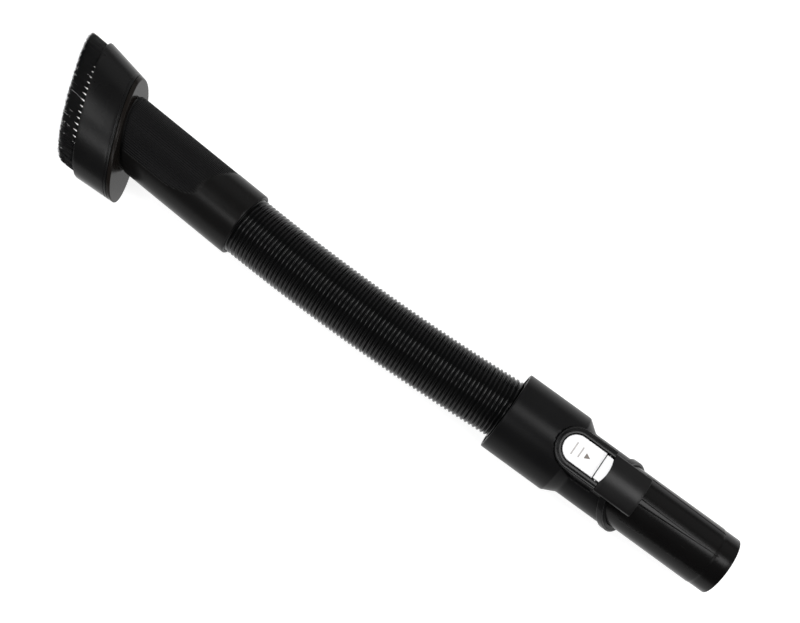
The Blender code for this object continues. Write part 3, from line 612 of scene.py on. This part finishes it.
marks = {                                 # a plain arrow and two short bars on the pad's face
    "pressArrow": {"corners": [(-103.4, -2.1), (-99.9, -0.3), (-103.4, 1.5)], "finish": "mark"},
    "barNear": {"corners": [(-106.9, -3.6), (-106.0, -3.6), (-106.0, 3.2), (-106.9, 3.2)],
                "finish": "markPale"},
    "barFar": {"corners": [(-111.2, -4.6), (-110.3, -4.6), (-110.3, 3.8), (-111.2, 3.8)],
               "finish": "markPale"},
}
markLevels = (-0.2, 0.035)                # where a mark's underside and top lie, from the pad's face


def makePad(k):
    # a low dome on a stadium outline, which falls away to a groove; beyond it a short sloping strip
    left = k["left"] + k["wall"] + k["padGap"]
    right = k["right"] + k["tongueGap"] - k["padSeam"]
    groove = right - k["stripLength"]
    half = k["half"] - k["wall"] - k["padGap"]
    bottom = k["top"] - k["padThick"]
    slab("pushPad", lambda inset: stadium(left, groove, half, inset),
         slabLevels(bottom, k["top"], 0.35, [1.2, 3.0, 5.0, 7.0]), finishes["pad"],
         body="lock_lever_body", slot="pad_white", nodes=["push_pad"], sharp=60,
         top=lambda x, y: (-k["padDome"] * np.minimum(1, (y / half) ** 2)
                           - 0.55 * smoothStep((x - groove + 1.0) / 1.0)))

    def stripOutline(inset):
        # a short block whose right side bows out
        y = np.linspace(-1, 1, 25) * (k["stripHalf"] - inset)
        bow = right + k["stripBow"] * (1 - (y / k["stripHalf"]) ** 2) - inset
        lead = np.full_like(y, groove + k["stripGap"] + inset)
        return np.vstack([np.stack([bow, y], -1), np.stack([lead, y[::-1]], -1)])

    slab("padStrip", stripOutline, slabLevels(bottom, k["top"] - 0.1, 0.3, [0.8, 1.4, 1.9]), finishes["pad"],
         body="lock_lever_body", slot="pad_white", sharp=60,
         top=lambda x, y: (-k["stripDrop"] * np.clip((x - groove) / k["stripLength"], 0, 1.3)
                           - 0.3 * smoothStep(1 - (x - groove - k["stripGap"]) / 0.8)))
    for name, mark in marks.items():
        flat = rounded(mark["corners"], 0.28)
        face = k["top"] - k["padDome"] * (flat[:, 1] / half) ** 2
        rows = [np.column_stack([flat, face + level]) for level in markLevels]
        barPiece(name, np.array(rows) * mm, finishes[mark["finish"]], body="lock_lever_body",
                 slot="pad_white")


def makeTongue(k):
    # an arched plate: its section is an arc of constant thickness with upright sides, carried along the tube
    start, end, edge = k["right"] + k["tongueGap"], k["tongueEnd"], k["tongueEdge"]

    def sectionAt(inset):
        half = k["tongueHalf"] - inset
        inner, outer = k["tongueBore"] + inset, k["tongueBore"] + k["tongueThick"] - inset
        y = np.linspace(-half, half, 61)
        high = np.sqrt(outer ** 2 - y ** 2)
        low = np.sqrt(inner ** 2 - y ** 2)
        # both edges of each side are rounded by pulling the outer rim down and the inner one up
        soft = 0.35 * np.clip((np.abs(y) - (half - 0.6)) / 0.6, 0, 1) ** 2.5
        return np.vstack([np.stack([y, high - soft], -1), np.stack([y, low + soft * 0.5], -1)[::-1]])

    bend = np.linspace(0, np.pi / 2, 5)
    opening = [(start + edge * (1 - math.sin(t)), edge * (1 - math.cos(t))) for t in bend[::-1]]
    middle = [(x, 0.0) for x in np.linspace(start + edge, end - edge, 14)[1:-1]]
    closing = [(end - edge * (1 - math.sin(t)), edge * (1 - math.cos(t))) for t in bend]
    rows = []
    for x, inset in opening + middle + closing:
        section = sectionAt(inset)
        rows.append(np.column_stack([np.full(len(section), x), section]))
    barPiece("lockTongue", np.array(rows) * mm, finishes["tongue"], body="lock_lever_body",
             slot="shell_black", nodes=["lock_lever"], sharp=50)


def roundedBlock(name, low, high, edge, material, **more):
    # a block with rounded edges: rounded rectangles stacked along Z
    low, high = np.array(low, float), np.array(high, float)

    def outlineAt(inset):
        a, b = low[:2] + inset, high[:2] - inset
        return rounded([(a[0], a[1]), (b[0], a[1]), (b[0], b[1]), (a[0], b[1])], edge)

    slab(name, outlineAt, [(h, i, False) for h, i in edgeLevels(low[2], high[2], edge)], material, **more)


hidden = {                                # the arm and tooth under the tongue, and the ring inside the cuff
    "leverArm": ((-113.4, -6.9, 21.6), (-86.6, 6.9, 23.1)),
    "lockTooth": ((-66.7, -4.9, 20.5), (-63.7, 4.9, 23.2)),
    "ring": [(-152.8, 20.6), (-152.8, 22.9), (-150.6, 22.9), (-150.6, 20.6)],
    "edge": 0.3,
}
makePad(lock)
makeTongue(lock)
for name in ("leverArm", "lockTooth"):
    roundedBlock(name, *hidden[name], hidden["edge"], finishes["inner"], body="lock_lever_body",
                 slot="shell_black")
ringPiece("retainingRing", turnedGrid(rounded(hidden["ring"], hidden["edge"]) * mm, 120), finishes["inner"],
          body="connector", slot="shell_black", nodes=["retaining_ring"])
print("lock made")


hose = {
    "radius": 19.15, "ribDepth": 1.05, "bore": 16.4, "boreRib": 0.5, "pitch": 2.72, "length": 188.5,
    "tilt": 4.5, "turn": 7.7, "startX": -155.5, "bendPitch": 35.0, "reach": 13.0, "inside": 27.0,
    "plug": 18.0, "easeIn": 12.0, "valleyPower": 1.9, "cuffReach": 4.0, "wandReach": 9.0,
    "sides": 84, "perRib": 9,
}


def hoseLine(distances, h):
    # the rest line: the heading eases in at the cuff and then turns back at an even rate
    step = 0.05
    fine = np.arange(-h["inside"] - 1, h["length"] + h["plug"] + 1, step)
    steady = math.radians(h["tilt"]) - math.radians(h["turn"]) * np.clip(fine, 0, h["length"]) / h["length"]
    heading = steady * smoothStep((fine + h["easeIn"] / 2) / h["easeIn"])
    x = -np.cumsum(np.cos(heading)) * step
    y = -np.cumsum(np.sin(heading)) * step
    # the middle of the first section lies on the frame's own line
    anchor = h["bendPitch"] / 2
    bend = math.radians(h["turn"]) / h["length"]
    first, here = math.radians(h["tilt"]), math.radians(h["tilt"]) - bend * anchor
    anchorX = h["startX"] - (math.sin(first) - math.sin(here)) / bend
    anchorY = (math.cos(first) - math.cos(here)) / bend
    x += anchorX - np.interp(anchor, fine, x)
    y += anchorY - np.interp(anchor, fine, y)
    return (np.interp(distances, fine, x), np.interp(distances, fine, y), np.interp(distances, fine, heading))


def hoseSurface(distances, radii, h):
    # circles of the given radii square to the rest line
    x, y, heading = hoseLine(distances, h)
    turn = np.linspace(0, 2 * np.pi, h["sides"], endpoint=False)
    side = -radii[:, None] * np.sin(turn)
    up = radii[:, None] * np.cos(turn)
    px = x[:, None] - np.sin(heading)[:, None] * side
    py = y[:, None] + np.cos(heading)[:, None] * side
    return np.stack([px, py, up], -1) * mm


def makeHose(h):
    # fine ribs with round crests and tight valleys, split between two bends at a valley
    bends = np.arange(6) * h["bendPitch"]
    cuts = np.round((bends[:-1] + h["bendPitch"] / 2) / h["pitch"]) * h["pitch"]
    cuts = np.concatenate([[-h["inside"]], cuts, [h["length"] + h["plug"]]])
    for k in range(6):
        count = int(round((cuts[k + 1] - cuts[k]) / h["pitch"] * h["perRib"])) + 1
        d = np.linspace(cuts[k], cuts[k + 1], count)
        valley = (0.5 + 0.5 * np.cos(2 * np.pi * d / h["pitch"])) ** h["valleyPower"]
        outer = h["radius"] - h["ribDepth"] * valley
        back = d[::-1][::3]
        if (count - 1) % 3:
            back = np.append(back, d[0])
        inner = h["bore"] - h["boreRib"] * (0.5 + 0.5 * np.cos(2 * np.pi * back / h["pitch"]))
        grid = np.vstack([hoseSurface(d, outer, h), hoseSurface(back, inner, h)])
        nodes = [f"hose_bend_{k + 1}", f"hose_section_{k}"] if k else ["hose_cuff_end", "hose_bend_1"]
        if k == 5:
            nodes.append("hose_wand_end")
        piece = ringPiece(f"hoseRun{k + 1}", grid, finishes["hose"], slot="hose_black", nodes=nodes, sharp=60)
        before = h["cuffReach"] if k == 0 else h["reach"]
        after = h["wandReach"] if k == 5 else h["reach"]
        lineX, lineY = hoseLine(np.array([bends[k] - before, bends[k] + after]), h)[:2]
        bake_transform(piece)


makeHose(hose)
print("hose made")


wand = {
    "radius": 21.35, "bore": 19.45, "length": 88.6, "cut": 25.5, "roll": 8.0, "ribPitch": 3.757,
    "ribDepth": 0.26, "zoneSink": 0.16, "zoneHalf": 134.0, "heading": -3.2, "border": 22.8, "borderRise": 9.0,
    "borderCurl": 13.5, "sides": 720,
}


def wandFrame(w):
    # the wand starts where the hose's line ends, and lies at its own heading
    x, y = hoseLine(np.array([hose["length"]]), hose)[:2]
    return Matrix.Translation((x[0] * mm, y[0] * mm, 0)) @ Matrix.Rotation(math.radians(w["heading"]), 4, "Z")


wandPlace = wandFrame(wand)


def cutDistance(turn, radius, w, extra=0.0):
    # how far along the wand its slanted end lies, at an angle round it
    cut, roll = math.radians(w["cut"]), math.radians(w["roll"])
    nx, ny, nz = math.cos(cut), math.sin(cut) * math.cos(roll), math.sin(cut) * math.sin(roll)
    y, z = -radius * np.sin(turn), radius * np.cos(turn)
    return w["length"] + extra + (y * ny + z * nz) / nx


def makeWand(w):
    # a tube with fine lengthwise ribs inside a zone whose hose-side border is an S-curve
    turn = np.linspace(0, 2 * np.pi, w["sides"], endpoint=False)
    far = cutDistance(turn, w["radius"], w)
    degrees = np.degrees(turn)
    fromSide = np.abs((degrees + 90 + 180) % 360 - 180)
    border = (w["border"] + w["borderRise"] * smoothStep((fromSide - 20) / 85)
              + w["borderCurl"] * np.clip((fromSide - 108) / 24, 0, 3) ** 2.5)
    share = np.concatenate([[0.0, 0.004, 0.010, 0.016], np.linspace(0.022, 0.95, 70), [0.975, 0.99, 1.0]])
    along = share[:, None] * far[None, :]
    zone = smoothStep((along - border) / 1.5 + 0.5) * smoothStep((w["zoneHalf"] - fromSide) / 1.6 + 0.5)
    ribs = 0.5 + 0.5 * np.cos(2 * np.pi * degrees / w["ribPitch"])
    radius = w["radius"] - zone * (w["zoneSink"] + w["ribDepth"] * (1 - ribs))
    # both rims are drawn in a little over their last rows
    radius[:3] -= np.array([0.5, 0.15, 0.03])[:, None]
    radius[-2:] -= np.array([0.06, 0.35])[:, None]
    innerAlong = np.linspace(1, 0, 16)[:, None] * cutDistance(turn, w["bore"], w)[None, :]
    x = -np.vstack([along, innerAlong])
    r = np.vstack([radius, np.full_like(innerAlong, w["bore"])])
    grid = np.stack([x, -r * np.sin(turn), r * np.cos(turn)], -1) * mm
    piece = ringPiece("wandTube", turnedBy(grid, wandPlace), finishes["wand"], body="wand",
                      slot="wand_black", nodes=["wand_tube"], sharp=40)
    # faces inside the zone take the darker grip finish
    piece.data.materials.append(finishes["grip"])
    flags = np.zeros(len(piece.data.polygons), np.int32)
    cells = (zone[:-1] > 0.6).reshape(-1)
    flags[:len(cells)] = cells
    piece.data.polygons.foreach_set("material_index", flags)


makeWand(wand)
print("wand made")


brush = {
    "gap": 1.5, "halfLong": 38.8, "halfShort": 23.5, "flareLong": 3.8, "flareShort": 1.0, "depth": 25.3,
    "wall": 2.0, "power": 2.3, "shift": -5.4, "lean": 1.2, "plate": 2.4, "plugReach": 16.0, "plugWall": 1.8,
    "carrierDepth": 8.0, "carrierInset": 2.3, "carrierWidth": 3.6, "plateEdge": 0.55, "plugGap": 0.3,
    "reach": 13.3, "endReach": 14.7, "rootDepth": 2.0, "tuftPitch": 3.7, "fibres": 56, "tuftHalf": 0.80,
    "tuftDeep": 0.85, "splay": 1.35, "splayOut": 0.55, "bow": 0.25, "sides": 220,
    "fibreThick": ((0.0, 0.15), (0.4, 0.145), (0.75, 0.125), (1.0, 0.06)),
    # each row's inset, and its shift as a share of the pitch
    "rows": {"bristlesOuter": (3.3, 0.0), "bristlesInner": (4.8, 0.5)},
}
cutAngle = math.radians(wand["cut"])
cutTan = math.tan(cutAngle)
brushPlace = (wandPlace
              @ Matrix.Translation((-(wand["length"] + brush["gap"] / math.cos(cutAngle)) * mm, 0, 0))
              @ Matrix.Rotation(math.radians(wand["roll"]), 4, "X")
              @ Matrix.Rotation(cutAngle, 4, "Z"))


def ovalAt(depth, inset, turn, b):
    # a superellipse that grows and leans with depth, drawn in by an inset
    grown = depth / b["depth"]
    c, s = np.cos(turn), np.sin(turn)
    y = (b["halfLong"] + b["flareLong"] * grown - inset) * np.sign(c) * np.abs(c) ** (2 / b["power"])
    z = (b["halfShort"] + b["flareShort"] * grown - inset) * np.sign(s) * np.abs(s) ** (2 / b["power"])
    y = y + b["shift"] + b["lean"] * grown + depth * cutTan
    return np.stack(np.broadcast_arrays(-depth, y, z), -1)


def ovalGrid(profile, b):
    # a profile of (depth, inset) carried round the oval
    profile = np.array(profile, float)
    turn = np.linspace(0, 2 * np.pi, b["sides"], endpoint=False)[None, :]
    return turnedBy(ovalAt(profile[:, :1], profile[:, 1:], turn, b) * mm, brushPlace)


def makeSkirt(b):
    # the wall's section: a soft rear rim, one narrow groove behind the sweep of the skirt, a soft front edge
    back, front = b["plate"] + 0.3, b["depth"]
    outline = [(back, b["wall"]), (back, 0.0), (back + 1.35, 0.0), (back + 1.45, 0.28), (back + 1.85, 0.28),
               (back + 1.95, 0.0), (front, 0.0), (front, b["wall"])]
    profile = rounded(outline, [0.0, 0.3, 0.05, 0.05, 0.05, 0.08, 0.45, 0.4])
    profile = finer(np.vstack([profile, profile[:1]]), 1.6)[:-1]
    ringPiece("brushSkirt", ovalGrid(profile, b), finishes["skirt"], body="brush", slot="brush_black",
              nodes=["brush_skirt"], sharp=45)
    high = front - 1.0
    low, near = high - b["carrierDepth"], b["carrierInset"]
    far = near + b["carrierWidth"]
    carrier = rounded([(low, near), (high, near), (high, far), (low, far)], 0.4)
    ringPiece("bristleCarrier", ovalGrid(carrier, b), finishes["inner"], body="brush", slot="brush_black",
              nodes=["bristle_carrier"])


def makePlate(b, w):
    # a flat oval with a soft rim and a round air way through it, and a short plug that enters the wand
    turn = np.linspace(0, 2 * np.pi, b["sides"], endpoint=False)
    plugRadius = w["bore"] - b["plugGap"]
    bore = plugRadius - b["plugWall"]
    thick, edge = b["plate"], b["plateEdge"]
    rim = [(thick, 0.25), (thick - 0.12, 0.04), (thick - 0.3, 0.0)]
    rim += [(edge * (1 - math.sin(t)), edge * (1 - math.cos(t))) for t in np.linspace(0, np.pi / 2, 6)]
    rows = [ovalAt(np.full_like(turn, depth), inset, turn, b) for depth, inset in rim]

    def boreAt(depth):
        # the bore's circle, carried along the wand's axis onto the plate's plane
        y, z = bore * np.cos(turn), bore * np.sin(turn)
        # seen from the plate, the wand's X is (cos, -sin) and its Y is (sin, cos)
        c, s = math.cos(cutAngle), math.sin(cutAngle)
        along = (-depth - y * s) / c
        return np.stack([along * c + y * s, -along * s + y * c, z], -1)

    outerFront, outerBack = rows[0], rows[-1]
    rows += [outerBack * (1 - t) + boreAt(0.0) * t for t in (0.02, 0.1, 0.3, 0.6, 0.9, 1.0)]
    rows += [boreAt(thick) * (1 - t) + outerFront * t for t in (0.0, 0.5, 0.97)]
    grid = turnedBy(np.array(rows) * mm, brushPlace)
    ringPiece("backPlate", grid, finishes["plate"], body="brush", slot="plate_black",
              nodes=["brush_back_plate"], sharp=35)
    # the plug, square to the wand's axis at its far end and slanted at the plate
    around = np.linspace(0, 2 * np.pi, 128, endpoint=False)
    gapAlong = b["gap"] / math.cos(cutAngle)
    tip = np.full_like(around, b["plugReach"] - (w["length"] + gapAlong))
    section = []
    for r, atTip in ((bore, False), (plugRadius, False), (plugRadius, True), (bore, True)):
        x = tip if atTip else -cutDistance(around, r, w, gapAlong + 1.0)
        section.append(np.stack([x, -r * np.sin(around), r * np.cos(around)], -1))
    ringPiece("brushPlug", turnedBy(np.array(section) * mm, wandPlace), finishes["inner"], body="brush",
              slot="plate_black", sharp=35)


def prismFaces(count, levels):
    # sides and end caps of three-sided prisms whose points are stacked one prism after another
    base = np.arange(count)[:, None] * 3 * levels
    sides = []
    for level in range(levels - 1):
        for j in range(3):
            near, far = base + level * 3 + j, base + level * 3 + (j + 1) % 3
            sides.append(np.hstack([near, far, far + 3, near + 3]))
    top = base + 3 * (levels - 1)
    ends = [np.hstack([base + 2, base + 1, base]), np.hstack([top, top + 1, top + 2])]
    return [np.vstack(sides), np.vstack(ends)]


def makeBristles(b):
    # tufts at an even pitch round the oval; each fibre is a thin tapered prism that splays from its tuft:
    # straight line from root to tip, plus a bow of 4t(1 - t)
    random = np.random.default_rng(7)
    depth = b["depth"] - b["rootDepth"]
    dense = np.linspace(0, 2 * np.pi, 4001)
    axis = np.array([-math.cos(cutAngle), math.sin(cutAngle), 0])
    corner = np.array([(math.cos(a), math.sin(a)) for a in (0.3, 2.39, 4.49)])
    for name, (inset, shift) in b["rows"].items():
        line = ovalAt(depth, inset, dense, b)
        steps = np.concatenate([[0], np.cumsum(np.linalg.norm(np.diff(line, axis=0), axis=1))])
        tufts = int(round(steps[-1] / b["tuftPitch"]))
        turnAt = np.interp((np.arange(tufts) + shift) * steps[-1] / tufts, steps, dense)
        turn = np.repeat(turnAt, b["fibres"])
        count = len(turn)
        root = ovalAt(depth, inset, turn, b)
        side = ovalAt(depth, inset, turn + 0.01, b) - root
        side /= np.linalg.norm(side, axis=1, keepdims=True)
        out = np.cross(side, [1.0, 0, 0])
        out /= np.linalg.norm(out, axis=1, keepdims=True)

        def moved(sideways, outwards):
            return side * sideways[:, None] + out * outwards[:, None]

        # u and v place a fibre across and through its tuft, whose ends are thinner than its middle
        u, v = random.uniform(-1, 1, count), random.uniform(-1, 1, count)
        root = root + moved(u * b["tuftHalf"], v * np.sqrt(1 - 0.5 * u * u) * b["tuftDeep"])
        across = (root[:, 1] - b["shift"] - b["lean"] - b["depth"] * cutTan) / b["halfLong"]
        reach = b["reach"] + (b["endReach"] - b["reach"]) * np.clip(across, 0, 1) ** 2
        reach = (reach + b["rootDepth"]) * (1 + random.normal(0, 0.018, count)) - 0.2
        tip = root + axis * reach[:, None] + moved(u * b["splay"] + random.normal(0, 0.22, count),
                                                   v * b["splayOut"] + random.normal(0, 0.16, count))
        bow = moved(u * b["bow"] + random.normal(0, 0.10, count), random.normal(0, 0.10, count))
        points = []
        for t, thick in b["fibreThick"]:
            centre = root * (1 - t) + tip * t + bow * (4 * t * (1 - t))
            ring = side[:, None, :] * corner[None, :, :1] + out[:, None, :] * corner[None, :, 1:]
            points.append(centre[:, None, :] + ring * thick)
        grid = np.stack(points, 1).reshape(-1, 3)
        stands = {"nodes": ["bristles"]} if name == "bristlesOuter" else {}
        makePiece(name, turnedBy(grid * mm, brushPlace), prismFaces(count, len(points)), finishes["fibre"],
                  body="brush", slot="bristle_black", sharp=180, **stands)


makeSkirt(brush)
makePlate(brush, wand)
makeBristles(brush)
print("brush head made")
